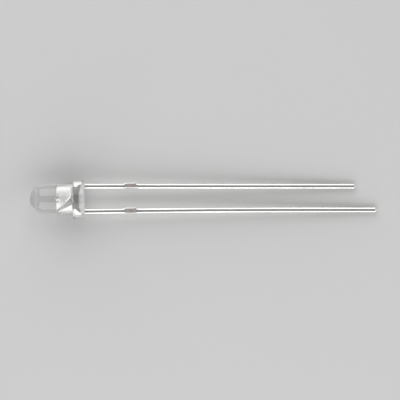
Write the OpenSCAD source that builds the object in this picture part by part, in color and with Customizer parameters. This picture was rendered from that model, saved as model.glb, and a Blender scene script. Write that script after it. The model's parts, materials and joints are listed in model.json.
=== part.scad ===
// Clear through-hole lamp, 3 mm, lying on its flange rim and its two lead tips.
// The origin is the centre of the rim under the flange, where the lamp seats on a board.
// Each module below draws its piece upright: dome up, leads down, anode lead on the +X side.

/* [Lens] */
// Diameter of the barrel and of its dome
barrel_d = 3.0; // [2.8:0.05:3.4]
// Height from the seating rim to the tip of the dome
lens_h = 5.45; // [5:0.05:6.4]
// Height of the flange
flange_h = 1.2; // [1:0.05:1.4]
// How far the flange stands out from the barrel
flange_w = 0.5; // [0.42:0.01:0.6]
// How far the flat on the cathode side stands out from the barrel
flat_w = 0.235; // [0.18:0.005:0.28]
// How far the dish under the flange reaches past the barrel's radius
dish_w = 0.12; // [0.1:0.01:0.14]
// Depth of the dish at its centre
dish_depth = 0.6; // [0.5:0.01:0.68]
// How far the resin creeps down each lead below the rim
creep_h = 0.08; // [0.06:0.01:0.1]
// Half the width of the resin round a lead, at its lower end
creep_r = 0.39; // [0.38:0.01:0.42]
// Half the width of the resin round a lead, at the level of the dish's bottom
creep_foot_r = 0.62; // [0.52:0.01:0.7]

/* [Leads] */
// Distance between the centres of the two leads
pitch = 2.54; // [2.45:0.01:2.65]
// Width and thickness of a lead
lead_t = 0.52; // [0.42:0.01:0.52]
// Length of the cathode lead below the rim
cathode_l = 27.15; // [24:0.05:32]
// How much longer the anode lead is
anode_extra = 2.2; // [1.8:0.1:2.6]
// How far the anode lead bows in towards the other lead
anode_bow = 0.165; // [0.1:0.005:0.22]
// Distance below the rim at which the bow ends
bow_l = 24; // [18:0.5:25]
// Corner radius at the tip of the cathode lead
cathode_tip_r = 0.05; // [0.04:0.01:0.06]
// Corner radius at the tip of the anode lead
anode_tip_r = 0.15; // [0.12:0.01:0.18]

/* [Sheared stubs of the tie bar] */
// Distance from the rim to the stubs
stub_z = 3.95; // [3.3:0.05:4.7]
// Length of a stub along its lead
stub_l = 1.2; // [1:0.05:1.4]
// Length of the slope at the upper end of a stub
stub_slope = 0.15; // [0.12:0.01:0.18]
// How much further down its lead the cut on the other side runs
stub_cut = 0.15; // [0.12:0.01:0.18]
// How far the cathode stub stands out, and how deep it is cut in on the other side
cathode_stub = [0.08, 0.09]; // [0.05:0.01:0.14]
// How far the anode stub stands out, and how deep it is cut in on the other side
anode_stub = [0.07, 0.02]; // [0.01:0.01:0.1]

/* [Lead frame inside the lens] */
// Gap between the barrel's wall and the frame's outer edge, on the cathode and on the anode side
frame_gap = [0.12, 0.2]; // [0.1:0.01:0.24]
// Distance of the inner side of the cathode lead's root from the axis
root_in = 0.86; // [0.8:0.01:0.94]
// Height at which the cathode lead starts to widen into its root, and at which it has widened
root_z = [0.62, 0.72]; // [0.56:0.01:0.78]
// Height at which a lead starts to step in, and at which it has stepped in
step_z = [0.8, 1.05]; // [0.7:0.01:1.2]
// Height of the anvil's head
head_z = 2.8; // [2.6:0.05:3.1]
// Height of the anvil's head above the tip of the post
post_drop = 0.05; // [0.04:0.01:0.06]
// Width of the post at its tip
post_w = 0.35; // [0.3:0.01:0.4]
// Gap between the anvil's nose and the post
nose_gap = 0.15; // [0.13:0.01:0.18]
// Height of the anvil's nose
nose_h = 0.15; // [0.12:0.01:0.18]
// Distance of the anvil's heel from the axis, and its height
heel = [0.175, 1.28]; // [0.15:0.005:1.5]
// Distance of the post's wing from the axis, and its height
wing = [0.44, 1.25]; // [0.4:0.01:1.4]
// Width and height of the blunt end of the wing
wing_end = [0.13, 0.12]; // [0.1:0.01:0.15]
// Height of the foot of the wing on its lead
wing_foot_z = 0.5; // [0.44:0.01:0.56]
// Radius of the reflector cup at its mouth
mouth_r = 0.38; // [0.36:0.01:0.4]
// Radius of the reflector cup at its floor
floor_r = 0.2; // [0.19:0.01:0.22]
// Depth of the reflector cup
cup_depth = 0.3; // [0.28:0.01:0.34]
// Wall of the reflector cup
cup_wall = 0.12; // [0.1:0.01:0.14]
// Height of the bulge around the cup
bulge_h = 0.45; // [0.4:0.01:0.52]

/* [Chip and bond wire] */
// Width of the chip
die_w = 0.24; // [0.2:0.01:0.26]
// Height of the chip
die_h = 0.18; // [0.15:0.01:0.2]
// Radius of the adhesive under the chip
attach_r = 0.185; // [0.18:0.001:0.188]
// Thickness of the adhesive
attach_h = 0.03; // [0.025:0.001:0.036]
// Diameter of the bond wire
wire_d = 0.03; // [0.025:0.001:0.036]
// Radius and height of the ball on the chip
ball = [0.045, 0.03]; // [0.025:0.001:0.054]
// Height of the wire's upright above the chip
upright_h = 0.26; // [0.22:0.01:0.31]
// Radius of the wire's bend at its highest point
wire_bend_r = 0.08; // [0.07:0.005:0.095]
// Radius and thickness of the stitch on the post
stitch = [0.05, 0.012]; // [0.01:0.001:0.06]

/* [Hidden] */
$fn = 96;
barrel_r = barrel_d / 2;
flange_r = barrel_r + flange_w;
dish_r = barrel_r + dish_w;
// Radius of the sphere that the dish is cut with
dish_sphere_r = (dish_r * dish_r + dish_depth * dish_depth) / (2 * dish_depth);
anode_l = cathode_l + anode_extra;
lead_x = pitch / 2;
// Outer edges of the frame inside the barrel: the anvil's and the post's
anvil_x = barrel_r - frame_gap[0];
post_x = barrel_r - frame_gap[1];
nose_x = post_x - post_w - nose_gap;
post_z = head_z - post_drop;
cup_slope = (mouth_r - floor_r) / cup_depth;
bow_steps = 10;
tip_steps = 4;
floor_z = head_z - cup_depth;
die_z = floor_z + attach_h;
die_top = die_z + die_h;
stitch_x = post_x - post_w / 2;
bend_z = die_top + upright_h;
// The wire's span leaves its bend on the tangent that ends at the stitch
span_drop = bend_z - post_z;
span_run = stitch_x - wire_bend_r;
span_fall = atan2(span_drop, span_run) + asin(wire_bend_r / norm([span_drop, span_run]));
span_start = [wire_bend_r * (1 - sin(span_fall)), bend_z + wire_bend_r * cos(span_fall)];
span_l = norm([stitch_x, post_z] - span_start);
over = 0.2;

// Lying at rest, the flange and the lower edges of both tips touch one plane. Its slope along
// the leads solves a quadratic equation, and its slope across them is tip_rise times that.
tip_rise = anode_extra / (pitch - anode_bow);
tip_reach = cathode_l + tip_rise * pitch / 2;
rest_a = tip_reach * tip_reach - pow(flange_r * tip_rise, 2);
rest_b = lead_t * tip_reach;
rest_c = lead_t * lead_t / 4 - flange_r * flange_r;
rest_slope = (sqrt(rest_b * rest_b - 4 * rest_a * rest_c) - rest_b) / (2 * rest_a);
rest_cross = rest_slope * tip_rise;
rest_roll = -atan(rest_cross);
rest_pitch = atan(rest_slope / sqrt(1 + rest_cross * rest_cross));

// Distance of a lead's centre line from the axis, at a depth below the rim
function bowed(depth, bow) = lead_x - bow * (1 - pow(1 - min(depth, bow_l) / bow_l, 2));

// Depths down one edge of a lead, each with the share of the stub's shift there. A stub's end lies
// at the depth low.
function stations(bow, low) = concat(
    [[0, 0], [stub_z, 0], [stub_z + stub_slope, 1], [low, 1], [low, 0]],
    [for (i = [1:bow_steps]) if (bow > 0) [low + (bow_l - low) * i / bow_steps, 0]]);

// One edge of a lead, from the rim down, side +1 or -1 of its centre line
function lead_edge(at, side, bow, shift) = [for (s = stations(bow, stub_z + stub_l + (side > 0 ? stub_cut : 0)))
    [at * bowed(s[0], bow) + side * lead_t / 2 - shift * s[1], -s[0]]];

// The rounded corner at a lead's tip, from its edge to its end
function tip_corner(at, side, bow, l, r) = [for (i = [0:tip_steps]) let (a = 90 * i / tip_steps)
    [at * bowed(l, bow) + side * (lead_t / 2 - r + r * cos(a)), -l + r - r * sin(a)]];

// The outline of a lead below the rim: down its left edge, round the tip and up its right edge
function lead_outline(at, bow, l, r, stub) = concat(
    lead_edge(at, -1, bow, stub[0]), tip_corner(at, -1, bow, l, r),
    reversed(tip_corner(at, 1, bow, l, r)), reversed(lead_edge(at, 1, bow, stub[1])));

function reversed(points) = [for (i = [len(points) - 1:-1:0]) points[i]];

// Stamps an outline out of the frame's sheet, which stands in the plane of the leads
module stamped(outline) {
    rotate([90, 0, 0]) linear_extrude(lead_t, center = true) polygon(outline);
}

// Lays an upright piece down as it rests: dome to -X, cathode lead on the +Y side
module laid_down() {
    rotate([rest_roll, rest_pitch, 0]) rotate([90, 0, -90]) children();
}

module lens_blank() {
    rotate_extrude() difference() {
        union() {
            square([flange_r, flange_h]);
            square([barrel_r, lens_h - barrel_r]);
            intersection() {
                translate([0, lens_h - barrel_r]) circle(barrel_r);
                square([barrel_r, lens_h]);
            }
        }
        translate([0, dish_depth - dish_sphere_r]) circle(dish_sphere_r);
    }
}

// The resin drawn down round one lead by its own wetting
module creep(at) {
    translate([at * lead_x, 0, -creep_h])
        cylinder(h = creep_h + dish_depth, r1 = creep_r, r2 = creep_foot_r);
}

module cathode_shape() {
    difference() {
        union() {
            stamped(concat(
                lead_outline(-1, 0, cathode_l, cathode_tip_r, cathode_stub),
                [[lead_t / 2 - lead_x, root_z[0]], [-root_in, root_z[1]],
                 [-root_in, heel[1]], [-heel[0], heel[1]],
                 [nose_x, head_z - nose_h], [nose_x, head_z], [-anvil_x, head_z],
                 [-anvil_x, step_z[1]], [-lead_x - lead_t / 2, step_z[0]]]));
            translate([0, 0, head_z - bulge_h])
                cylinder(h = bulge_h, r1 = mouth_r + cup_wall - cup_slope * bulge_h, r2 = mouth_r + cup_wall);
        }
        translate([0, 0, floor_z])
            cylinder(h = cup_depth + over, r1 = floor_r, r2 = mouth_r + cup_slope * over);
    }
}

module anode_shape() {
    stamped(concat(
        lead_outline(1, anode_bow, anode_l, anode_tip_r, anode_stub),
        [[lead_x + lead_t / 2, step_z[0]], [post_x, step_z[1]], [post_x, post_z],
         [post_x - post_w, post_z], [post_x - post_w, post_z - over], wing,
         wing + [wing_end[0], -wing_end[1]], [lead_x - lead_t / 2, wing_foot_z]]));
}

module die_shape() {
    translate([-die_w / 2, -die_w / 2, die_z]) cube([die_w, die_w, die_h]);
}

module attach_shape() {
    translate([0, 0, floor_z]) cylinder(h = attach_h, r = attach_r);
}

// The ball, the upright, the bend, the long fall to the post and the stitch
module wire_shape() {
    translate([0, 0, die_top]) cylinder(h = ball[1], r = ball[0]);
    translate([0, 0, die_top]) cylinder(h = upright_h, r = wire_d / 2);
    translate([wire_bend_r, 0, bend_z]) rotate([90, 0, 0]) rotate(90 + span_fall)
        rotate_extrude(angle = 90 - span_fall) translate([wire_bend_r, 0]) circle(wire_d / 2);
    difference() {
        translate([span_start[0], 0, span_start[1]]) rotate([0, 90 + span_fall, 0])
            cylinder(h = span_l + over, r = wire_d / 2);
        translate([span_start[0], -over, post_z - 2 * over]) cube([post_x, 2 * over, 2 * over]);
    }
    translate([stitch_x, 0, post_z]) cylinder(h = stitch[1], r = stitch[0]);
}

module epoxy_body() {
    color([0.93, 0.95, 0.93, 0.35]) laid_down() difference() {
        union() {
            lens_blank();
            creep(-1);
            creep(1);
        }
        translate([-flange_r - barrel_r - flat_w, -flange_r, -over])
            cube([flange_r, 2 * flange_r, flange_h + 2 * over]);
        cathode_shape();
        anode_shape();
        die_shape();
        attach_shape();
        wire_shape();
    }
}

module cathode_lead() {
    color("silver") laid_down() cathode_shape();
}

module anode_lead() {
    color("silver") laid_down() anode_shape();
}

module led_die() {
    color([0.25, 0.24, 0.22]) laid_down() die_shape();
}

module die_attach() {
    color([0.6, 0.6, 0.58]) laid_down() attach_shape();
}

module bond_wire() {
    color([0.9, 0.72, 0.3]) laid_down() wire_shape();
}

epoxy_body();
cathode_lead();
anode_lead();
led_die();
die_attach();
bond_wire();
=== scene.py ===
import json
import math

import bpy
import numpy as np
from bpy.props import FloatProperty, FloatVectorProperty, IntProperty, PointerProperty
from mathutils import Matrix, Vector


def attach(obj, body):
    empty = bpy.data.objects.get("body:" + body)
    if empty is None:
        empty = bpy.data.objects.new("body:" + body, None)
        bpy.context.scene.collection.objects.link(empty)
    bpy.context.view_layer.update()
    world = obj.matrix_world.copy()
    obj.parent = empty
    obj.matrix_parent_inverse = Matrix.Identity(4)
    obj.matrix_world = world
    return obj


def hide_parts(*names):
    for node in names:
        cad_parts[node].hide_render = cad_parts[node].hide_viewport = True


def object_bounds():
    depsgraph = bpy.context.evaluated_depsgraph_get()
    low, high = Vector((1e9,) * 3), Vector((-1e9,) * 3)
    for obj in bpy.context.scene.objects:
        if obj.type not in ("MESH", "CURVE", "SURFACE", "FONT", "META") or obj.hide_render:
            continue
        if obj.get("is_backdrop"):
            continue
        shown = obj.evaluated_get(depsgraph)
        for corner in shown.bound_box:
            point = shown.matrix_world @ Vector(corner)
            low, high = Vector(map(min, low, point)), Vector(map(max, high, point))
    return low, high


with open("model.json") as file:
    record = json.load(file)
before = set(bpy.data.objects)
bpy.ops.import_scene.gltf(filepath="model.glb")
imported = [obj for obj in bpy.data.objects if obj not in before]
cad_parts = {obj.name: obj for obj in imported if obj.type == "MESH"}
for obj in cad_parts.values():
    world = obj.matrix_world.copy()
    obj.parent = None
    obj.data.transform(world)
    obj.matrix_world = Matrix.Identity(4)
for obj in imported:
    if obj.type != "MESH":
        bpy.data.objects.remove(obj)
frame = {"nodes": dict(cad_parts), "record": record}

bl_info = {
    "name": "Clear Through-Hole Lamp",
    "version": (1, 0, 0),
    "blender": (4, 5, 0),
    "location": "View3D > Sidebar > Lamp",
    "description": "Dresses a packed 3 mm lamp: clear lens, plated lead frame, chip and bond wire",
    "category": "Object",
}

MM = 0.001
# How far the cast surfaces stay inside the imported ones, in millimetres
SKIN = 0.004
# Radius of a sheet's edge that is left sharp, in millimetres
SHARP = 0.002
# Radius of an outline's corner that is left square, in millimetres
SQUARE = 0.004
# Half the thickness of the soft border between two finishes on the chip, in millimetres
FINE = 0.0015
# Faces that meet at a steeper angle than this keep a crease between them
CREASE = math.radians(38)
# Refractive index of the cast epoxy
EPOXY_INDEX = 1.54
# Half the width of the floor, in millimetres
FLOOR_HALF = 600
# Width of the camera's sensor, in millimetres
SENSOR_W = 36.0


def unit(v):
    """Scales each vector of the last axis to length one."""
    v = np.asarray(v, float)
    return v / np.maximum(np.linalg.norm(v, axis=-1, keepdims=True), 1e-12)


def mount(name):
    """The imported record's mount of this name."""
    return next(m for m in frame["record"]["mounts"] if m["name"] == name)


def upright_axes():
    """The lamp's own axes in the row frame, as rows: X towards the anode lead, Y, and Z up the dome.
    Z is the shoulder's normal, and X is what is left of the shoulder's place across Z."""
    up = unit(mount("shoulder")["axis"])
    place = np.array(mount("shoulder")["pos_m"], float)
    side = unit(place - (place @ up) * up)
    return np.array([side, np.cross(up, side), up])


AXES = upright_axes()


def node_points(node):
    """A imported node's vertices in the lamp's own axes, in millimetres."""
    data = frame["nodes"][node].data
    co = np.zeros(len(data.vertices) * 3)
    data.vertices.foreach_get("co", co)
    return co.reshape(-1, 3) @ AXES.T / MM


LENS = node_points("epoxy_body")
CATHODE = node_points("cathode_lead")
ANODE = node_points("anode_lead")
CHIP = node_points("led_die")
GLUE = node_points("die_attach")
BARREL_R = mount("barrel")["dims"]["r_mm"]
FLANGE_H = float(np.array(mount("shoulder")["pos_m"]) @ AXES[2]) / MM


def inside(points):
    """The places across the leads of a frame's points that lie inside the barrel."""
    return points[points[:, 2] > FLANGE_H, 0]


def size(name, description, default, low=0.0, high=60.0):
    """A length property in millimetres, with its default taken from the frame or written here."""
    return FloatProperty(name=name, description=description, default=float(default),
                         min=low, max=high, precision=3)


def angle(name, description, degrees):
    """An angle property, with its default in degrees."""
    return FloatProperty(name=name, description=description, default=math.radians(degrees),
                         subtype="ANGLE")


def power(name, description, default):
    """A property for the power of a light."""
    return FloatProperty(name=name, description=description, default=default, min=0.0, unit="POWER")


def strength(name, description, default):
    """A property for the strength of a part of the sky."""
    return FloatProperty(name=name, description=description, default=default, min=0.0)


def tint(name, description, default):
    """A colour property."""
    return FloatVectorProperty(name=name, description=description, default=default,
                               subtype="COLOR", size=3, min=0.0, max=1.0)


class LensSizes(bpy.types.PropertyGroup):
    """Sizes of the cast lens, in millimetres."""

    height: size("Height", "From the seating rim to the tip of the dome", LENS[:, 2].max() - SKIN)
    flange_r: size("Flange radius", "Radius of the flange", LENS[:, 0].max() - SKIN)
    flat_x: size("Flat", "Distance of the cathode flat from the axis", -LENS[:, 0].min())
    dish_r: size("Dish radius", "Radius of the dish in the underside", BARREL_R + 0.12)
    dish_depth: size("Dish depth", "Depth of the dish at its centre", 0.6)
    creep: size("Creep", "How far the resin creeps down each lead below the rim", -LENS[:, 2].min())
    creep_fall: size("Creep fall-off", "Distance over which the crept resin thins away", 0.13)
    edge_r: size("Edge radius", "Radius of the moulded edges", 0.06)
    shoulder_r: size("Shoulder radius", "Radius of the flange's upper edge", 0.2)
    rings: size("Rings", "Height of the rings that the mould's turning left", 0.0012)
    rounds: IntProperty(name="Steps round", description="Steps round the axis", default=336, min=48)


class LeadSizes(bpy.types.PropertyGroup):
    """Sizes of the two leads, in millimetres."""

    thick: size("Lead width", "Width and thickness of a lead", 0.52)
    pitch: size("Pitch", "Distance between the centres of the leads", 2.54)
    cathode_l: size("Cathode length", "Length of the cathode lead below the rim", -CATHODE[:, 2].min())
    anode_l: size("Anode length", "Length of the anode lead below the rim", -ANODE[:, 2].min())
    bow: size("Bow", "How far the anode lead bows inwards", 0.165)
    bow_l: size("Bow length", "Distance below the rim at which the bow ends", 24.0)
    edge_r: size("Edge radius", "Radius of a lead's long edges", 0.17)
    stub_z: size("Stub place", "Distance from the rim to the sheared stubs", 3.95)
    stub_l: size("Stub length", "Length of a stub along its lead", 1.2)
    stub_slope: size("Stub slope", "Length of the slope at the stub's upper end", 0.15)
    stub_cut: size("Stub cut", "How much further the cut on the stub's other side runs", 0.15)
    burr: size("Burr", "Height of the burr at a stub's lower end", 0.03)
    cathode_out: size("Cathode stub", "How far the cathode stub stands out", 0.08)
    cathode_in: size("Cathode cut", "How deep the cathode lead is cut in beside its stub", 0.09)
    cathode_tip: size("Cathode tip", "Length of the bevel at the cathode lead's tip", 0.07)
    anode_out: size("Anode stub", "How far the anode stub stands out", 0.07)
    anode_in: size("Anode cut", "How deep the anode lead is cut in beside its stub", 0.02)
    anode_tip: size("Anode tip", "Length of the bevel at the anode lead's tip", 0.12)


class HeadSizes(bpy.types.PropertyGroup):
    """Sizes of the lead frame, chip and wire inside the lens, in millimetres."""

    anvil_x: size("Anvil edge", "Distance of the anvil's outer edge from the axis", -inside(CATHODE).min())
    post_x: size("Post edge", "Distance of the post's outer edge from the axis", inside(ANODE).max())
    top: size("Anvil head", "Height of the anvil's head", CATHODE[:, 2].max())
    post_top: size("Post tip", "Height of the post's tip", ANODE[:, 2].max())
    post_w: size("Post width", "Width of the post at its tip", 0.35)
    nose_x: size("Nose", "Distance of the anvil's nose from the axis", 0.8)
    nose_h: size("Nose height", "Height of the anvil's nose", 0.15)
    heel_x: size("Heel", "Distance of the anvil's heel from the axis", 0.175)
    heel_z: size("Heel height", "Height of the anvil's heel", 1.28)
    wing_x: size("Wing", "Distance of the post's wing from the axis", 0.44)
    wing_z: size("Wing height", "Height of the post's wing", 1.25)
    wing_w: size("Wing end width", "Width of the blunt end of the wing", 0.13)
    wing_h: size("Wing end height", "Height of the blunt end of the wing", 0.12)
    wing_foot: size("Wing foot", "Height of the foot of the wing on its lead", 0.5)
    root_in: size("Root side", "Distance of the cathode root's inner side from the axis", 0.86)
    root_foot: size("Root foot", "Height at which the cathode lead starts to widen", 0.62)
    root_top: size("Root top", "Height at which the cathode lead has widened", 0.72)
    mouth_r: size("Cup mouth", "Radius of the reflector cup at its mouth", 0.38)
    floor_r: size("Cup floor", "Radius of the reflector cup at its floor", 0.2)
    floor_z: size("Cup floor height", "Height of the cup's floor", GLUE[:, 2].min())
    cup_wall: size("Cup wall", "Wall of the reflector cup", 0.12)
    bulge_h: size("Bulge", "Height of the bulge around the cup", 0.45)
    edge_r: size("Edge radius", "Radius of the frame's stamped edges", 0.045)
    bevel: size("Slanted edge", "Width of the bevel along the anvil's slanted edge", 0.07)
    tail: size("Tail", "How far the stamped edges run on below the rim", 0.02)
    step_foot: size("Step foot", "Height at which a lead starts to step in", 0.92)
    step_top: size("Step top", "Height at which a lead has stepped in", 1.12)
    chip_w: size("Chip width", "Width of the chip", np.ptp(CHIP[:, 0]))
    chip_z: size("Chip foot", "Height of the chip's underside", CHIP[:, 2].min())
    chip_top: size("Chip top", "Height of the chip's upper face", CHIP[:, 2].max())
    glue_r: size("Adhesive radius", "Radius of the adhesive under the chip", GLUE[:, 0].max())
    wire_r: size("Wire radius", "Radius of the bond wire", 0.015)
    upright: size("Wire upright", "Height of the wire's upright above the chip", 0.26)
    bend_r: size("Wire bend", "Radius of the wire's bend", 0.08)
    ball_r: size("Ball radius", "Radius of the ball on the chip", 0.045)


class Finishes(bpy.types.PropertyGroup):
    """Colours of the materials."""

    resin: tint("Resin", "Tint of the clear casting", (0.985, 0.99, 0.985))
    tin: tint("Tin", "Colour of the tinned leads", (0.80, 0.79, 0.77))
    silver: tint("Silver", "Colour of the silver inside the lens", (0.95, 0.945, 0.92))
    sheared: tint("Sheared metal", "Colour of the bare sheared stubs", (0.38, 0.34, 0.32))
    chip: tint("Chip", "Colour of the chip's top", (0.55, 0.42, 0.16))
    glue: tint("Adhesive", "Colour of the silver-filled adhesive", (0.62, 0.61, 0.58))
    gold: tint("Gold", "Colour of the bond wire", (0.92, 0.74, 0.42))
    floor: tint("Floor", "Colour of the floor", (0.52, 0.52, 0.515))


class StageSettings(bpy.types.PropertyGroup):
    """Camera and lights."""

    view_w: size("View width", "Width of the ground that the camera sees", 40.0)
    view_x: size("View centre X", "Middle of the view along the leads", 11.57)
    view_y: size("View centre Y", "Middle of the view across the leads", -0.105, -20.0)
    camera_h: size("Camera height", "Height of the camera above the lamp", 320.0, 10.0, 2000.0)
    panel_l: size("Panel length", "Length of each side light along the leads", 265.0, 1.0, 2000.0)
    panel_x: size("Panel place", "Middle of the side lights along the leads", -36.0, -500.0, 500.0)
    panel_h: size("Panel height", "Height of each side light", 270.0, 1.0, 2000.0)
    panel_d: size("Panel distance", "Distance of each light from the lamp", 220.0, 1.0, 2000.0)
    panel_rise: angle("Panel rise", "Elevation of each side light's middle", 33.5)
    side_power: power("Side lights", "Power of each side light", 0.5)
    end_l: size("End light width", "Width of the light beyond the lead tips", 250.0, 1.0, 2000.0)
    end_h: size("End light height", "Height of the light beyond the lead tips", 160.0, 1.0, 2000.0)
    end_rise: angle("End light rise", "Elevation of the end light's middle", 30.0)
    end_turn: angle("End light turn", "How far the end light stands to the anode's side", 26.0)
    end_power: power("End light", "Power of the light beyond the lead tips", 0.17)
    zenith: strength("Overhead", "Strength of the light from overhead", 0.28)
    horizon: strength("Horizon", "Strength of the light from the horizon", 0.42)


def settings(name):
    """The scene's property group of this name."""
    return getattr(bpy.context.scene, "lamp_" + name)


def outward(points, shells):
    """A closed shell's faces, turned to face out. With each face a fan of triangles a, b, c, the sum of
    a . (b x c) is six times the volume inside, and has to be positive."""
    shells = [np.atleast_2d(faces) for faces in shells]
    volume = sum((points[faces[:, :1]] * np.cross(points[faces[:, 1:-1]], points[faces[:, 2:]])).sum()
                 for faces in shells)
    return shells if volume > 0 else [faces[:, ::-1] for faces in shells]


def mesh_data(name, parts):
    """One mesh from closed shells, each given as points in the lamp's own axes in millimetres, a list of
    arrays of faces, and a smooth flag for each array. The points go to the row frame by the lamp's axes."""
    verts, faces, smooth, base = [], [], [], 0
    for points, shells, flags in parts:
        for shell, flag in zip(outward(points, shells), flags):
            faces.extend((shell + base).tolist())
            smooth.extend([flag] * len(shell))
        verts.append(points @ AXES * MM)
        base += len(points)
    data = bpy.data.meshes.new(name)
    data.from_pydata(np.concatenate(verts).tolist(), [], faces)
    data.polygons.foreach_set("use_smooth", smooth)
    data.validate()
    data.update()
    data.set_sharp_from_angle(angle=CREASE)
    return data


def add_piece(name, parts, material, node):
    """Makes the object, gives it its material and its place in the frame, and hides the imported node."""
    data = mesh_data(name, parts)
    data.materials.append(material)
    piece = bpy.data.objects.new(name, data)
    bpy.context.scene.collection.objects.link(piece)
    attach(piece, "root")
    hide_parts(node)


def grid_faces(rows, columns):
    """Quads of a grid of rows by columns, counted row by row, with the last column joined to the first."""
    i, j = np.meshgrid(np.arange(rows - 1), np.arange(columns), indexing="ij")
    here, below = i * columns, (i + 1) * columns
    after = (j + 1) % columns
    return np.stack([here + j, here + after, below + after, below + j], -1).reshape(-1, 4)


def fan_faces(ring, tip):
    """Triangles from each side of a closed ring to one point."""
    return np.stack([ring, np.roll(ring, -1), np.full(len(ring), tip)], -1)


def pointed(grid, first, last, smooth=True):
    """A shell from a grid of closed rings, shut at each end by a fan of triangles to one point."""
    rows, columns = grid.shape[:2]
    count = rows * columns
    points = np.concatenate([grid.reshape(-1, 3), [first, last]])
    start = fan_faces(np.arange(columns), count)[:, ::-1]
    end = fan_faces(np.arange(count - columns, count), count + 1)
    return points, [grid_faces(rows, columns), start, end], [smooth] * 3


def lidded(grid):
    """A shell from a grid of closed rings, shut at each end by one flat face."""
    rows, columns = grid.shape[:2]
    count = rows * columns
    start, end = np.arange(columns)[::-1], np.arange(count - columns, count)
    return grid.reshape(-1, 3), [grid_faces(rows, columns), start, end], [True, False, False]


def quarter(count):
    """Angles at even steps from 0 to 90 degrees."""
    return np.linspace(0, np.pi / 2, count)


def arc(x, z, r, angles):
    """The points (x + r cos a, z + r sin a) for each angle a. r is one radius, or one across and one up."""
    return np.array([x, z]) + r * np.stack([np.cos(angles), np.sin(angles)], -1)


def turned(profile, columns=96):
    """A profile of (radius, height) turned about Z: x = r cos a, y = r sin a, z = height, with a point
    on the axis at each end to close it."""
    a = np.linspace(0, 2 * np.pi, columns, endpoint=False)
    r, z = profile[:, :1], profile[:, 1:]
    grid = np.stack([r * np.cos(a), r * np.sin(a), np.repeat(z, columns, 1)], -1)
    return pointed(grid, [0, 0, z[0, 0]], [0, 0, z[-1, 0]])


def eased(points, radii, steps=4, lead_in=0.012):
    """Each corner of an outline becomes an arc tangent to its two sides. With h half the corner's angle,
    the arc starts r / tan h from the corner and its centre lies r / sin h along the bisector; one more
    point stands a little before and after each arc. Returns the points and each one's corner number."""
    # Shares of a side that an arc and its extra point take up at most
    arc_share, extra_share = 0.42, 0.05
    before, after = np.roll(points, 1, 0) - points, np.roll(points, -1, 0) - points
    before_l, after_l = np.linalg.norm(before, axis=1), np.linalg.norm(after, axis=1)
    before, after = unit(before), unit(after)
    half = np.arccos(np.clip((before * after).sum(1), -1, 1)) / 2
    half = np.clip(half, 0.05, np.pi / 2 - 1e-4)
    reach = np.minimum(radii / np.tan(half), arc_share * np.minimum(before_l, after_l))
    r = reach * np.tan(half)
    # On a straight run the two sides cancel out, and this tiny step across it stands in for the bisector
    across = 1e-9 * np.stack([-before[:, 1], before[:, 0]], -1)
    centre = points + unit(before + after + across) * (r / np.sin(half))[:, None]
    start, end = points + before * reach[:, None], points + after * reach[:, None]
    share = np.linspace(0, 1, steps + 1)[None, :, None]
    turn = (np.pi - 2 * half)[:, None, None]
    spokes = (np.sin((1 - share) * turn) * (start - centre)[:, None]
              + np.sin(share * turn) * (end - centre)[:, None]) / np.sin(turn)
    first = start + before * np.minimum(lead_in, extra_share * before_l)[:, None]
    last = end + after * np.minimum(lead_in, extra_share * after_l)[:, None]
    rows = np.concatenate([first[:, None], centre[:, None] + spokes, last[:, None]], 1)
    return rows.reshape(-1, 2), np.repeat(np.arange(len(points)), steps + 3)


def pushed_in(outline):
    """The mitred inward direction at each point of an outline: the mean of its two sides' normals over
    the cosine of half the turn."""
    side = unit(np.roll(outline, -1, 0) - outline)
    normal = np.stack([-side[:, 1], side[:, 0]], -1)
    both = unit(normal + np.roll(normal, 1, 0))
    x, y = outline.T
    area = (x * np.roll(y, -1) - np.roll(x, -1) * y).sum()
    stretch = np.maximum((both * normal).sum(1), 0.5)[:, None]
    return np.sign(area) * both / stretch


def stamped(outline, edge_r, bevelled, thick, steps=5):
    """A flat sheet with worked edges. At the angle t from 0 to 90 degrees a rounded edge lies r (1 - cos t)
    inside the outline and r (1 - sin t) below the face. With k = t / 90 a bevelled edge lies r k inside
    and r (1 - k) / 2 below."""
    t = quarter(steps + 1)
    lift = np.repeat([-1, 1], steps + 1)[:, None]
    t = np.concatenate([t[::-1], t])[:, None]
    k = 2 * t / np.pi
    inset = np.where(bevelled, k, 1 - np.cos(t)) * edge_r
    below = np.where(bevelled, (1 - k) / 2, 1 - np.sin(t)) * edge_r
    flat = outline[None] + inset[..., None] * pushed_in(outline)[None]
    return lidded(np.stack([flat[..., 0], -lift * (thick / 2 - below), flat[..., 1]], -1))


def bowed(depth, at, lead):
    """Place of a lead's centre line across the leads. With s the share of the bow's length that is still
    left at this depth, the anode lead has come in by bow (1 - s s)."""
    bow = lead.bow if at > 0 else 0.0
    left = 1 - np.minimum(depth, lead.bow_l) / lead.bow_l
    return at * (lead.pitch / 2 - bow * (1 - left ** 2))


def rounded_sections(left, right, half_y, r, z):
    """A grid of rounded rectangles, one for each station from its sides, its half depth, its corner radius
    and its height. A corner point at the angle a lies at the corner's centre plus r (cos a, sin a)."""
    a = (np.arange(4) * np.pi / 2)[:, None] + quarter(7)
    to_right, to_front = np.cos(a.mean(1)) > 0, np.sign(np.sin(a.mean(1)))
    centre_x = np.where(to_right, (right - r)[:, None], (left + r)[:, None])
    centre_y = to_front * (half_y - r)[:, None]
    x = (centre_x[..., None] + r[:, None, None] * np.cos(a)).reshape(len(z), -1)
    y = (centre_y[..., None] + r[:, None, None] * np.sin(a)).reshape(len(z), -1)
    return np.stack([x, y, np.repeat(z[:, None], x.shape[1], 1)], -1)


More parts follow.
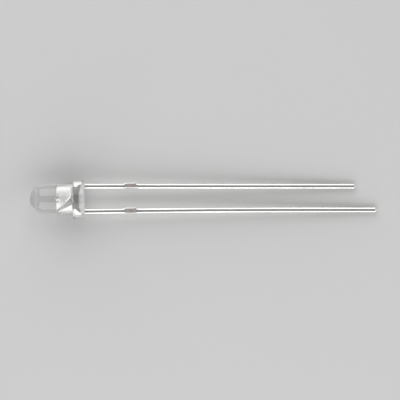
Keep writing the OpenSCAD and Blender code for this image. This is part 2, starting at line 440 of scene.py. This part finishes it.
def shank_parts(at, length, tip_r, stub, lead):
    """A lead below the lens: a rounded rectangle carried down the lead's line. A station has a depth, how
    far its two edges are moved, and its corner radius; two stations at one depth make a sharp step. With
    t from 0 to 90 degrees along the tip's bevel b, the faces above and below fall away by 0.5 b sin t,
    and the sides by 0.6 b (1 - cos t)."""
    out, cut, burr = *stub, lead.burr
    top, end = lead.stub_z, lead.stub_z + lead.stub_l
    full, cut_end = top + lead.stub_slope, end + lead.stub_cut
    stations = np.array([
        # depth, -X edge out, +X edge in, share of the corner radius
        [-0.2, 0, 0, 0.7], [0.02, 0, 0, 0.8], [0.3, 0, 0, 0.95], [0.5, 0, 0, 1.0], [top - 0.3, 0, 0, 1.0],
        [top - 0.05, 0, 0, 0.95], [top, 0, 0, 0.85], [full, out, cut, 0.45], [full + 0.02, out, cut, 0.4],
        [end - 0.12, out, cut, 0.4], [end - 0.06, out + burr, cut, 0.35], [end, out + burr, cut, 0.35],
        [end, -burr, cut + burr, 0.45], [cut_end - 0.02, -burr, cut + burr, 0.5],
        [cut_end, -burr / 2, burr, 0.6], [cut_end + 0.05, 0, 0, 0.85], [cut_end + 0.15, 0, 0, 1.0]])
    t = quarter(7)
    tip_start = length - tip_r
    plain = np.concatenate([np.linspace(cut_end + 0.4, lead.bow_l, 12), [tip_start - 0.3, tip_start - 0.01],
                            tip_start + tip_r * np.sin(t)])
    plain = np.stack([plain, 0 * plain, 0 * plain, np.ones(len(plain))], -1)
    depth, low, high, share = np.concatenate([stations, plain]).T
    above_tip = np.zeros(len(depth) - len(t))
    pull = np.concatenate([above_tip, 0.6 * tip_r * (1 - np.cos(t))])
    fall = np.concatenate([above_tip, 0.5 * tip_r * np.sin(t)])
    middle = bowed(np.maximum(depth, 0), at, lead)
    left, right = middle - lead.thick / 2 - low + pull, middle + lead.thick / 2 - high - pull
    half_y = lead.thick / 2 - fall
    r = np.minimum(share * lead.edge_r, 0.96 * half_y)
    return lidded(rounded_sections(left, right, half_y, r, -depth))


def cup_slope(head):
    """How much the radius of the cup's cone grows with its height."""
    return (head.mouth_r - head.floor_r) / (head.top - head.floor_z)


def cup_parts(head):
    """The reflector cup: one profile turned about Z, up the outside of the bulge, over the rounded rim,
    down the polished cone and across the floor, closed below inside the plate."""
    slope = cup_slope(head)
    rim = head.mouth_r + head.cup_wall
    # Radius of the rim's edges and of the turn into the floor, and how far that turn reaches inwards
    e, reach = 0.02, 0.03
    t = quarter(6)
    outer = np.linspace([rim - slope * head.bulge_h, head.top - head.bulge_h],
                        [rim - slope * e, head.top - e], 12)
    over = arc(rim - e - slope * e, head.top - e, e, t)[1:]
    lip = arc(head.mouth_r + e, head.top - e, e, t + np.pi / 2)
    cone = np.linspace([head.mouth_r - slope * e, head.top - 1.4 * e],
                       [head.floor_r + e, head.floor_z + e], 12)[1:]
    bowl = arc(head.floor_r + e, head.floor_z, [reach, e], t + np.pi / 2)[1:]
    floor = np.linspace([head.floor_r - reach, head.floor_z], [0.01, head.floor_z], 5)
    return turned(np.concatenate([outer, over, lip, cone, bowl, floor]))


def cathode_parts(lead, head):
    """The anvil with a notch for its cup, the cup itself, and the lead below them."""
    gap, sunk = 0.012, 0.02
    low = head.floor_z - sunk
    mouth = head.mouth_r + gap
    bottom = head.mouth_r - cup_slope(head) * (head.top - low) + gap
    inner, outer = -lead.pitch / 2 + lead.thick / 2, -lead.pitch / 2 - lead.thick / 2
    plain, slanted = head.edge_r, head.bevel
    plan = np.array([
        # place across, height, corner radius, edge radius
        [outer, -head.tail, SQUARE, SHARP], [inner, -head.tail, SQUARE, SHARP],
        [inner, head.root_foot, 0.05, plain], [-head.root_in, head.root_top, 0.06, plain],
        [-head.root_in, head.heel_z, 0.1, plain], [-head.heel_x, head.heel_z, 0.3, slanted],
        [head.nose_x, head.top - head.nose_h, 0.12, slanted], [head.nose_x, head.top, 0.06, plain],
        [mouth, head.top, SQUARE, SHARP], [bottom, low, SQUARE, SHARP],
        [-bottom, low, SQUARE, SHARP], [-mouth, head.top, SQUARE, SHARP],
        [-head.anvil_x, head.top, 0.08, plain], [-head.anvil_x, head.step_top, 0.2, plain],
        [outer, head.step_foot, 0.2, plain]])
    outline, corner = eased(plan[:, :2], plan[:, 2])
    edges = plan[corner, 3]
    shank = shank_parts(-1, lead.cathode_l, lead.cathode_tip, (lead.cathode_out, lead.cathode_in), lead)
    return [stamped(outline, edges, edges == slanted, lead.thick), cup_parts(head), shank]


def anode_parts(lead, head):
    """The post with its holding wing, and the lead below them."""
    inner, outer = lead.pitch / 2 - lead.thick / 2, lead.pitch / 2 + lead.thick / 2
    neck = head.post_x - head.post_w
    plain = head.edge_r
    plan = np.array([
        # place across, height, corner radius, edge radius
        [inner, -head.tail, SQUARE, SHARP], [outer, -head.tail, SQUARE, SHARP],
        [outer, head.step_foot, 0.2, plain], [head.post_x, head.step_top, 0.2, plain],
        [head.post_x, head.post_top, 0.08, plain], [neck, head.post_top, 0.06, plain],
        [neck, head.post_top - 0.2, 0.3, plain], [head.wing_x, head.wing_z, 0.06, plain],
        [head.wing_x + head.wing_w, head.wing_z - head.wing_h, 0.06, plain],
        [inner, head.wing_foot, 0.3, plain]])
    outline, corner = eased(plan[:, :2], plan[:, 2])
    shank = shank_parts(1, lead.anode_l, lead.anode_tip, (lead.anode_out, lead.anode_in), lead)
    return [stamped(outline, plan[corner, 3], False, lead.thick), shank]


def lens_profile(lens):
    """The lens's outline as (radius, height) from the rim's outer edge up to the tip: the flange's wall,
    its rounded shoulder, the barrel and a quarter circle for the dome. Each straight stretch keeps a
    little clear of the arcs beside it, so that they shade crisply."""
    e, f = lens.edge_r, lens.shoulder_r
    t = quarter(9)
    dome_z = lens.height - BARREL_R
    rim_edge = arc(lens.flange_r - e / 2, e / 2, e / 2, t - np.pi / 2)
    wall = np.linspace([lens.flange_r, e], [lens.flange_r, FLANGE_H - 1.2 * f], 6)
    top_edge = arc(lens.flange_r - f, FLANGE_H - f, f, t)
    shelf = np.linspace([lens.flange_r - 1.1 * f, FLANGE_H], [BARREL_R + 1.4 * e, FLANGE_H], 8)
    root = arc(BARREL_R + e, FLANGE_H + e, e, -t - np.pi / 2)
    barrel = np.linspace([BARREL_R, FLANGE_H + 1.5 * e], [BARREL_R, dome_z], 18)
    dome = arc(0, dome_z, BARREL_R, quarter(56)[1:-1])
    return np.concatenate([rim_edge, wall, top_edge, shelf, root, barrel, dome])


def round_steps(lens):
    """Angles round the axis, with a step exactly at each end of the flat on the -X side, and with the
    steps along the flat closer than the others."""
    closer, fewest = 1.6, 12
    half = math.acos(lens.flat_x / lens.flange_r)
    count = max(fewest, int(lens.rounds * half / np.pi * closer) // 2 * 2)
    flat = np.linspace(np.pi - half, np.pi + half, count, endpoint=False)
    rest = np.linspace(np.pi + half, 3 * np.pi - half, lens.rounds - count, endpoint=False)
    return np.concatenate([flat, rest])


def underside(x, y, lens, lead):
    """Height of the underside: the dish is a sphere's cap, and round each lead the resin comes down by
    (dish height + creep) exp(-d / fall), where d is the distance from a square just inside the lead's
    outline. Near the flange's edge the crept resin fades out."""
    hug, rim_w, fade_w = 0.03, 0.12, 0.2
    r = np.hypot(x, y)
    ball = (lens.dish_r ** 2 + lens.dish_depth ** 2) / (2 * lens.dish_depth)
    cap = lens.dish_depth - ball + np.sqrt(np.maximum(ball ** 2 - r ** 2, 0))
    dish = np.where(r < lens.dish_r, cap, 0.0)
    share = np.zeros_like(dish)
    for at in (-1, 1):
        off_x = np.maximum(np.abs(x - at * lead.pitch / 2) - lead.thick / 2 + hug, 0)
        off_y = np.maximum(np.abs(y) - lead.thick / 2 + hug, 0)
        share = np.maximum(share, np.exp(-np.hypot(off_x, off_y) / lens.creep_fall))
    keep = np.clip((lens.flange_r - rim_w - r) / fade_w, 0, 1)
    return dish - (dish + lens.creep) * share * keep


def lens_parts(lens, lead):
    """The outer surface is the profile turned about Z, cut off at the flat. The underside is a polar grid
    of heights from the rim's edge in to the axis."""
    a = round_steps(lens)
    profile = lens_profile(lens)
    r, z = profile[:, :1], profile[:, 1:]
    x = np.maximum(r * np.cos(a), -lens.flat_x - (r - lens.flange_r).clip(-lens.edge_r, 0))
    outer = np.stack([x, r * np.sin(a), np.repeat(z, len(a), 1)], -1)
    rim = np.linspace(r[0, 0], lens.dish_r, 9)[1:]
    radii = np.concatenate([rim, np.linspace(lens.dish_r, 0, 84)[1:-1]])[:, None]
    x = np.maximum(radii * np.cos(a), -lens.flat_x + lens.edge_r / 2)
    y = radii * np.sin(a)
    below = np.stack([x, y, underside(x, y, lens, lead)], -1)
    low = float(underside(0.0, 0.0, lens, lead))
    return [pointed(np.concatenate([below[::-1], outer]), [0, 0, low], [0, 0, lens.height])]


def chip_parts(head):
    """The sawn chip: a rounded square whose section narrows a little upwards, with a bevelled upper edge.
    With the power p, a ring at angle a has the radius w / (|cos a|^p + |sin a|^p)^(1/p)."""
    p, bevel, columns = 14, 0.012, 96
    a = np.linspace(0, 2 * np.pi, columns, endpoint=False) + np.pi / columns
    ring = 1 / (np.abs(np.cos(a)) ** p + np.abs(np.sin(a)) ** p) ** (1 / p)
    tall = head.chip_top - head.chip_z
    levels = np.array([
        # share of the height, share of the width
        [0.0, 0.97], [0.02, 1.0], [0.45, 1.0], [0.5, 0.985], [1 - bevel / tall, 0.965],
        [1.0, 0.965 - 2 * bevel / head.chip_w], [1.0, 0.5], [1.0, 0.1]])
    w = levels[:, 1:] * head.chip_w / 2 * ring
    z = np.repeat(head.chip_z + levels[:, :1] * tall, columns, 1)
    grid = np.stack([w * np.cos(a), w * np.sin(a), z], -1)
    return [pointed(grid, [0, 0, head.chip_z], [0, 0, head.chip_top], False)]


def glue_parts(head):
    """The adhesive: a thin disc with a rounded edge that climbs a little against the chip."""
    e = 0.9 * (head.chip_z - head.floor_z)
    foot = np.array([[0.02, head.floor_z], [head.glue_r - 0.01, head.floor_z]])
    edge = arc(head.glue_r - e, head.floor_z, e, quarter(7))
    climb = np.linspace([head.glue_r - e, head.floor_z + e], [0.1, head.chip_z], 6)[1:]
    return [turned(np.concatenate([foot, edge, climb]), 72)]


def wire_path(head):
    """The wire's middle line in the XZ plane: up from the chip, round a bend and straight down to the
    post on the bend's tangent, with a short foot along the post's tip. With D the distance from the
    bend's centre to the tip, the tangent falls by the tip's angle below the centre plus asin (r / D)."""
    foot_l = 0.05
    stitch = np.array([head.post_x - head.post_w / 2, head.post_top + head.wire_r / 2])
    bend_z = head.chip_top + head.upright
    drop, run = bend_z - head.post_top, stitch[0] - head.bend_r
    fall = math.atan2(drop, run) + math.asin(head.bend_r / math.hypot(drop, run))
    up = np.linspace([0, head.chip_top], [0, bend_z], 26)
    bend = arc(head.bend_r, bend_z, head.bend_r, np.linspace(np.pi, np.pi / 2 - fall, 18)[1:])
    down = np.linspace(bend[-1], stitch, 50)[1:]
    foot = np.linspace(stitch, stitch + [foot_l, -head.wire_r / 5], 8)[1:]
    return np.concatenate([up, bend, down, foot])


def wire_parts(head):
    """A tube carried along the wire's path. At the length l along it the ball has the radius
    R sqrt(1 - ((l - m) / b)^2), with m the ball's middle and b half its height. Over the stitch's length
    the tube is pressed flat and wide, and on the post's side nothing lies below the post's tip."""
    ball_middle, ball_half = 0.018, 0.03
    stitch_l, wider, flatter, post_side = 0.08, 1.4, 0.65, 0.5
    path = wire_path(head)
    length = np.concatenate([[0], np.cumsum(np.linalg.norm(np.diff(path, axis=0), axis=1))])
    pressed = 1 - np.minimum((length[-1] - length) / stitch_l, 1)[:, None]
    ball = head.ball_r * np.sqrt(np.clip(1 - ((length - ball_middle) / ball_half) ** 2, 0, 1))
    r = np.maximum(ball, head.wire_r)[:, None]
    a = np.linspace(0, 2 * np.pi, 20, endpoint=False)
    along = unit(np.gradient(path, axis=0))
    lift = r * (1 - flatter * pressed) * np.cos(a)
    x = path[:, :1] - along[:, 1:] * lift
    y = r * (1 + wider * pressed) * np.sin(a)
    z = path[:, 1:] + along[:, :1] * lift
    z = np.where(x > post_side, np.maximum(z, head.post_top), z)
    ends = [path[0, 0], 0, path[0, 1]], [path[-1, 0], 0, head.post_top]
    return [pointed(np.stack([x, y, z], -1), *ends)]


def material(name):
    """A new node material, and its tree, its shader and its Object coordinates."""
    made = bpy.data.materials.new(name)
    made.use_nodes = True
    tree = made.node_tree
    shader = tree.nodes["Principled BSDF"]
    place = tree.nodes.new("ShaderNodeTexCoord").outputs["Object"]
    return made, tree, shader, place


def feed(tree, value, socket):
    """Puts a value into a socket: a socket is linked, a number is written, and a colour gets its alpha."""
    if isinstance(value, bpy.types.NodeSocket):
        tree.links.new(value, socket)
    elif isinstance(value, tuple):
        socket.default_value = (*value, 1.0)
    else:
        socket.default_value = value


def dress(tree, shader, looks):
    """Puts each look into the shader's input of its name."""
    for name, look in looks.items():
        feed(tree, look, shader.inputs[name])


def stretched(tree, place, scale):
    """Object coordinates scaled by a factor for each axis, so that noise on them runs in lines, and then
    turned by the lean."""
    node = tree.nodes.new("ShaderNodeMapping")
    lean = math.atan2(AXES[2][2], -AXES[2][0])
    node.inputs["Rotation"].default_value = (0.0, -lean, 0.0)
    node.inputs["Scale"].default_value = scale
    tree.links.new(place, node.inputs["Vector"])
    return node.outputs["Vector"]


def noise(tree, vector, scale, detail=4.0, rough=0.55):
    """Noise at this scale of the vector, as its factor."""
    node = tree.nodes.new("ShaderNodeTexNoise")
    node.inputs["Scale"].default_value = scale
    node.inputs["Detail"].default_value = detail
    node.inputs["Roughness"].default_value = rough
    tree.links.new(vector, node.inputs["Vector"])
    return node.outputs["Fac"]


def ranged(tree, value, low, high, out_low=0.0, out_high=1.0):
    """A value carried from one range to another, held at its ends."""
    node = tree.nodes.new("ShaderNodeMapRange")
    for name, number in zip(("From Min", "From Max", "To Min", "To Max"), (low, high, out_low, out_high)):
        node.inputs[name].default_value = number
    tree.links.new(value, node.inputs["Value"])
    return node.outputs["Result"]


def under(tree, value, limit, soft):
    """1 where the value is under the limit and 0 where it is over, with a soft border on both sides."""
    return ranged(tree, value, limit - soft, limit + soft, 1.0, 0.0)


def blended(tree, factor, first, second):
    """A colour between two, each a socket or a colour."""
    node = tree.nodes.new("ShaderNodeMix")
    node.data_type = "RGBA"
    tree.links.new(factor, node.inputs["Factor"])
    for name, colour in (("A", first), ("B", second)):
        feed(tree, colour, next(i for i in node.inputs if i.name == name and i.type == "RGBA"))
    return next(o for o in node.outputs if o.type == "RGBA")


def arithmetic(tree, kind, *values):
    """One step of arithmetic on values that are each a socket or a number."""
    node = tree.nodes.new("ShaderNodeMath")
    node.operation = kind
    for socket, value in zip(node.inputs, values):
        feed(tree, value, socket)
    return node.outputs["Value"]


def times(tree, first, second):
    """The product of two values."""
    return arithmetic(tree, "MULTIPLY", first, second)


def bumped(tree, shader, height, distance):
    """Bump on the shader from a height, over this distance in metres."""
    node = tree.nodes.new("ShaderNodeBump")
    node.inputs["Distance"].default_value = distance
    tree.links.new(height, node.inputs["Height"])
    tree.links.new(node.outputs["Normal"], shader.inputs["Normal"])


def along_axis(tree, vector, axis, unit_length=MM):
    """Distance along one of the lamp's own axes, in millimetres, as a dot product. A normal has no unit,
    so its unit length is 1."""
    node = tree.nodes.new("ShaderNodeVectorMath")
    node.operation = "DOT_PRODUCT"
    node.inputs[1].default_value = tuple(AXES[axis] / unit_length)
    tree.links.new(vector, node.inputs[0])
    return node.outputs["Value"]


def places(tree, place):
    """The places across, through and up the lamp, and the distance from its axis, sqrt(x x + y y)."""
    x, y, z = (along_axis(tree, place, axis) for axis in range(3))
    return x, y, z, arithmetic(tree, "SQRT", arithmetic(tree, "ADD", times(tree, x, x), times(tree, y, y)))


def resin_material(finish, lens):
    """Clear cast epoxy: glass of its index with the fine rings of the turned mould, faint handling haze,
    and a frosted dish, chosen by the height and by the distance from the axis."""
    made, tree, shader, place = material("clear_epoxy")
    hazed, haze_rough, frost_rough, frost_clear = (0.965, 0.972, 0.965), 0.045, 0.28, 0.04
    z, radius = places(tree, place)[2:]
    frost = times(tree, under(tree, z, lens.dish_depth, 0.02), under(tree, radius, lens.dish_r, 0.01))
    frost = times(tree, frost, ranged(tree, noise(tree, place, 2600.0, 3.0), 0.3, 0.7, 0.65))
    haze = noise(tree, place, 900.0, 5.0)
    rough = ranged(tree, haze, 0.4, 0.75, 0.0, haze_rough)
    dress(tree, shader, {
        "IOR": EPOXY_INDEX,
        "Transmission Weight": ranged(tree, frost, 0.0, 1.0, 1.0, frost_clear),
        "Base Color": blended(tree, ranged(tree, haze, 0.35, 0.7), tuple(finish.resin), hazed),
        "Roughness": arithmetic(tree, "MAXIMUM", rough, times(tree, frost, frost_rough))})
    rings = noise(tree, stretched(tree, place, (9000.0, 80.0, 80.0)), 1.0, 3.0)
    slow = times(tree, noise(tree, place, 1400.0, 3.0), 3.0)
    bumped(tree, shader, arithmetic(tree, "ADD", rings, slow), lens.rings * MM)
    return made


def tin_plating(tree, shader, place, finish):
    """Tin with rolling lines along the lead, mottled roughness and faint pits: its colour and roughness."""
    dull_tin, smooth, rough, mottle = (0.70, 0.69, 0.665), 0.18, 0.27, 0.04
    lines = noise(tree, stretched(tree, place, (90.0, 9000.0, 9000.0)), 1.0, 5.0, 0.6)
    blotch = noise(tree, stretched(tree, place, (500.0, 1600.0, 1600.0)), 1.0)
    pits = noise(tree, place, 5200.0, 3.0)
    height = arithmetic(tree, "ADD", times(tree, lines, 0.7), times(tree, pits, 0.5))
    bumped(tree, shader, height, distance=0.8e-6)
    colour = blended(tree, ranged(tree, blotch, 0.42, 0.68), tuple(finish.tin), dull_tin)
    return colour, arithmetic(tree, "ADD", ranged(tree, lines, 0.3, 0.75, smooth, rough),
                              ranged(tree, blotch, 0.4, 0.7, 0.0, mottle))


def stub_centres(lead):
    """Where the middles of the two stubs lie across the leads, in millimetres."""
    depth = lead.stub_z + lead.stub_l / 2
    return (float(bowed(depth, -1, lead)) - (lead.cathode_out + lead.cathode_in) / 2,
            float(bowed(depth, 1, lead)) - (lead.anode_out + lead.anode_in) / 2)


def bareness(tree, place, z, lead):
    """How bare the metal is: 1 between a stub's two ends and near its middle, with an upper border that
    slants away from there, and a little along the rest of the stub's height."""
    top, bottom = -lead.stub_z + 0.02, -lead.stub_z - lead.stub_l - 0.03
    across = along_axis(tree, place, 0)
    apart = [arithmetic(tree, "ABSOLUTE", arithmetic(tree, "SUBTRACT", across, centre))
             for centre in stub_centres(lead)]
    apart = arithmetic(tree, "MINIMUM", *apart)
    slanted = arithmetic(tree, "ADD", z, apart)
    between = times(tree, ranged(tree, z, bottom - 0.02, bottom + 0.02), under(tree, slanted, top, 0.04))
    return times(tree, between, ranged(tree, apart, 0.16, 0.2, 1.0, 0.12))


def polish(tree):
    """How polished the silver is: 1 on the worked edges, where the normal's share through the sheet lies
    between those of its flat faces and of its walls."""
    normal = tree.nodes.new("ShaderNodeTexCoord").outputs["Normal"]
    facing = arithmetic(tree, "ABSOLUTE", along_axis(tree, normal, 1, 1.0))
    return times(tree, ranged(tree, facing, 0.92, 0.985, 1.0, 0.0), ranged(tree, facing, 0.1, 0.35))


def lead_material(finish, lead):
    """Tin over the lead frame, with the sheared stubs bare and matt, and silver inside the lens, duller on
    its flat faces than on its worked edges. The height along the axis chooses between them."""
    made, tree, shader, place = material("tinned_lead")
    worn, bare_rough, flat_rough, edge_rough, dullness = (0.51, 0.465, 0.435), 0.48, 0.42, 0.12, 0.3
    tin, tin_rough = tin_plating(tree, shader, place, finish)
    ragged = arithmetic(tree, "MULTIPLY_ADD", noise(tree, place, 7000.0, 2.0), 0.05, -0.025)
    z = arithmetic(tree, "ADD", along_axis(tree, place, 2), ragged)
    bare, cast_in, polished = bareness(tree, place, z, lead), ranged(tree, z, -0.07, -0.03), polish(tree)
    grain = noise(tree, stretched(tree, place, (5000.0, 1200.0, 1200.0)), 1.0)
    steel = blended(tree, ranged(tree, grain, 0.35, 0.7), tuple(finish.sheared), worn)
    silver_rough = ranged(tree, polished, 0.0, 1.0, flat_rough, edge_rough)
    matt = arithmetic(tree, "MAXIMUM", times(tree, bare, bare_rough), times(tree, cast_in, silver_rough))
    dull = times(tree, cast_in, ranged(tree, polished, 0.0, 1.0, dullness, 0.0))
    dress(tree, shader, {
        "Base Color": blended(tree, cast_in, blended(tree, bare, tin, steel), tuple(finish.silver)),
        "Roughness": arithmetic(tree, "MAXIMUM", tin_rough, matt),
        "Metallic": arithmetic(tree, "SUBTRACT", 1.0, dull)})
    return made


def chip_material(finish, head):
    """Polished semiconductor. On the upper face lie a round contact, where the distance from the axis is
    small, and four fingers, where the smaller of |x| and |y| is; the sawn sides are darker."""
    made, tree, shader, place = material("chip")
    finger_w, finger_l, contact_r = 0.0075, 0.0915, 0.0515
    deep, sawn = (0.36, 0.24, 0.09), (0.2, 0.16, 0.1)
    grain = noise(tree, place, 30000.0, 3.0)
    x, y, z, radius = places(tree, place)
    least = arithmetic(tree, "MINIMUM", *[arithmetic(tree, "ABSOLUTE", v) for v in (x, y)])
    fingers = times(tree, under(tree, least, finger_w, FINE), under(tree, radius, finger_l, FINE))
    contact = arithmetic(tree, "MAXIMUM", fingers, under(tree, radius, contact_r, FINE))
    upper = ranged(tree, z, head.chip_top - 0.006, head.chip_top - 0.002)
    body = blended(tree, upper, sawn, blended(tree, grain, tuple(finish.chip), deep))
    dress(tree, shader, {
        "Base Color": blended(tree, times(tree, contact, upper), body, tuple(finish.gold)),
        "Roughness": ranged(tree, grain, 0.3, 0.7, 0.12, 0.3),
        "Metallic": 0.75,
        "Coat Weight": 0.3})
    bumped(tree, shader, grain, distance=1e-6)
    return made


def glue_material(finish):
    """Silver-filled adhesive: flakes as cells that shade from one grey to another, rough and lumpy."""
    made, tree, shader, place = material("silver_adhesive")
    dark = (0.36, 0.35, 0.33)
    cells = tree.nodes.new("ShaderNodeTexVoronoi")
    cells.inputs["Scale"].default_value = 60000.0
    tree.links.new(place, cells.inputs["Vector"])
    flake = cells.outputs["Distance"]
    dress(tree, shader, {
        "Base Color": blended(tree, ranged(tree, flake, 0.1, 0.6), tuple(finish.glue), dark),
        "Roughness": ranged(tree, flake, 0.0, 0.7, 0.3, 0.6),
        "Metallic": 0.6})
    bumped(tree, shader, flake, distance=4e-6)
    return made


def gold_material(finish):
    """Drawn gold: a fine grain and a slightly uneven polish."""
    made, tree, shader, place = material("gold_wire")
    deep = (0.86, 0.66, 0.34)
    grain = noise(tree, place, 42000.0, 3.0)
    dress(tree, shader, {
        "Base Color": blended(tree, grain, tuple(finish.gold), deep),
        "Roughness": ranged(tree, grain, 0.3, 0.7, 0.12, 0.28),
        "Metallic": 1.0})
    bumped(tree, shader, grain, distance=5e-7)
    return made


class LAMP_OT_lens(bpy.types.Operator):
    """Cast the clear epoxy lens"""

    bl_idname = "lamp.lens"
    bl_label = "Cast Lens"

    def execute(self, context):
        lens = settings("lens")
        resin = resin_material(settings("finishes"), lens)
        add_piece("clear_lens", lens_parts(lens, settings("leads")), resin, "epoxy_body")
        return {"FINISHED"}


class LAMP_OT_leads(bpy.types.Operator):
    """Stamp the two leads with the anvil, cup and post"""

    bl_idname = "lamp.leads"
    bl_label = "Stamp Leads"

    def execute(self, context):
        lead, head = settings("leads"), settings("head")
        metal = lead_material(settings("finishes"), lead)
        add_piece("cathode_frame", cathode_parts(lead, head), metal, "cathode_lead")
        add_piece("anode_frame", anode_parts(lead, head), metal, "anode_lead")
        return {"FINISHED"}


class LAMP_OT_chip(bpy.types.Operator):
    """Set the chip in its adhesive and bond the gold wire"""

    bl_idname = "lamp.chip"
    bl_label = "Set Chip and Wire"

    def execute(self, context):
        head, finish = settings("head"), settings("finishes")
        add_piece("chip", chip_parts(head), chip_material(finish, head), "led_die")
        add_piece("chip_adhesive", glue_parts(head), glue_material(finish), "die_attach")
        add_piece("gold_bond_wire", wire_parts(head), gold_material(finish), "bond_wire")
        return {"FINISHED"}


def lay_floor(colour):
    """A flat pale floor at the lowest point of the lamp, a touch uneven in its colour."""
    z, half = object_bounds()[0][2], FLOOR_HALF * MM
    data = bpy.data.meshes.new("floor")
    data.from_pydata([(-half, -half, z), (half, -half, z), (half, half, z), (-half, half, z)],
                     [], [(0, 1, 2, 3)])
    made, tree, shader, place = material("pale_floor")
    darker = tuple(c * 0.985 for c in colour)
    dress(tree, shader, {
        "Base Color": blended(tree, noise(tree, place, 60.0, 3.0), colour, darker),
        "Roughness": 0.8,
        "Specular IOR Level": 0.2})
    data.materials.append(made)
    floor = bpy.data.objects.new("floor", data)
    bpy.context.scene.collection.objects.link(floor)
    floor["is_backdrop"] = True


def aimed(name, place, target, width, height, watts):
    """A rectangular area light at place, facing target."""
    light = bpy.data.lights.new(name, "AREA")
    light.shape = "RECTANGLE"
    light.size, light.size_y = width * MM, height * MM
    light.energy = watts
    item = bpy.data.objects.new(name, light)
    item.location = Vector(place) * MM
    item.rotation_euler = (Vector(target) - Vector(place)).to_track_quat("-Z", "Y").to_euler()
    bpy.context.scene.collection.objects.link(item)


def out_and_up(distance, rise):
    """How far out and how far up a light hangs: d cos e and d sin e, for the elevation e."""
    return distance * math.cos(rise), distance * math.sin(rise)


def hang_lights(stage):
    """A soft light on each side, and one beyond the lead tips, all at one distance."""
    out, up = out_and_up(stage.panel_d, stage.panel_rise)
    target = (stage.panel_x, stage.view_y, 0.0)
    for name, side in (("cathode_side_light", 1), ("anode_side_light", -1)):
        place = (stage.panel_x, side * out, up)
        aimed(name, place, target, stage.panel_l, stage.panel_h, stage.side_power)
    out, up = out_and_up(stage.panel_d, stage.end_rise)
    target = (stage.view_x, stage.view_y, 0.0)
    x, y = out * math.cos(stage.end_turn), -out * math.sin(stage.end_turn)
    place = (stage.view_x + x, stage.view_y + y, up)
    aimed("tip_side_light", place, target, stage.end_l, stage.end_h, stage.end_power)


def studio_world(stage):
    """Light that falls off from the horizon to a darker opening overhead, by the height of its direction."""
    low_sky, high_sky = 0.05, 0.35
    world = bpy.data.worlds.new("studio")
    world.use_nodes = True
    tree = world.node_tree
    split = tree.nodes.new("ShaderNodeSeparateXYZ")
    tree.links.new(tree.nodes.new("ShaderNodeTexCoord").outputs["Generated"], split.inputs[0])
    dress(tree, tree.nodes["Background"], {
        "Strength": ranged(tree, split.outputs["Z"], low_sky, high_sky, stage.horizon, stage.zenith),
        "Color": (0.97, 0.98, 1.0)})
    return world


def set_camera(stage):
    """A camera straight above the lamp. Its focal length is the sensor's width times the camera's height
    over the width of the ground that it sees."""
    optics = bpy.data.cameras.new("camera")
    optics.sensor_width = SENSOR_W
    optics.lens = SENSOR_W * stage.camera_h / stage.view_w
    optics.clip_start, optics.clip_end = 0.005, 5.0
    camera = bpy.data.objects.new("camera", optics)
    camera.location = (stage.view_x * MM, stage.view_y * MM, stage.camera_h * MM)
    bpy.context.scene.collection.objects.link(camera)
    bpy.context.scene.camera = camera


class LAMP_OT_stage(bpy.types.Operator):
    """Lay the pale floor and set the soft lights and the camera"""

    bl_idname = "lamp.stage"
    bl_label = "Set Stage"

    def execute(self, context):
        stage = settings("stage")
        lay_floor(tuple(settings("finishes").floor))
        hang_lights(stage)
        set_camera(stage)
        context.scene.world = studio_world(stage)
        context.scene.view_settings.view_transform = "Standard"
        return {"FINISHED"}


class LAMP_PT_panel(bpy.types.Panel):
    """The lamp's sizes, colours and steps"""

    bl_idname = "LAMP_PT_panel"
    bl_label = "Clear Lamp"
    bl_space_type = "VIEW_3D"
    bl_region_type = "UI"
    bl_category = "Lamp"

    def draw(self, context):
        for step in STEPS:
            self.layout.operator(f"lamp.{step}")
        for name, group in GROUPS.items():
            box = self.layout.box()
            box.label(text=name.capitalize())
            for prop in group.__annotations__:
                box.prop(settings(name), prop)


STEPS = ("lens", "leads", "chip", "stage")
GROUPS = {"lens": LensSizes, "leads": LeadSizes, "head": HeadSizes, "finishes": Finishes,
          "stage": StageSettings}
CLASSES = (*GROUPS.values(), LAMP_OT_lens, LAMP_OT_leads, LAMP_OT_chip, LAMP_OT_stage, LAMP_PT_panel)


def register():
    """Registers the classes and hangs each group of settings on the scene."""
    for cls in CLASSES:
        bpy.utils.register_class(cls)
    for name, group in GROUPS.items():
        setattr(bpy.types.Scene, "lamp_" + name, PointerProperty(type=group))


def unregister():
    """Takes the settings and the classes away again."""
    for name in GROUPS:
        delattr(bpy.types.Scene, "lamp_" + name)
    for cls in reversed(CLASSES):
        bpy.utils.unregister_class(cls)


def main():
    """Runs each step in turn."""
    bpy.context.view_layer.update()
    register()
    for step in STEPS:
        getattr(bpy.ops.lamp, step)()


if __name__ == "__main__":
    main()
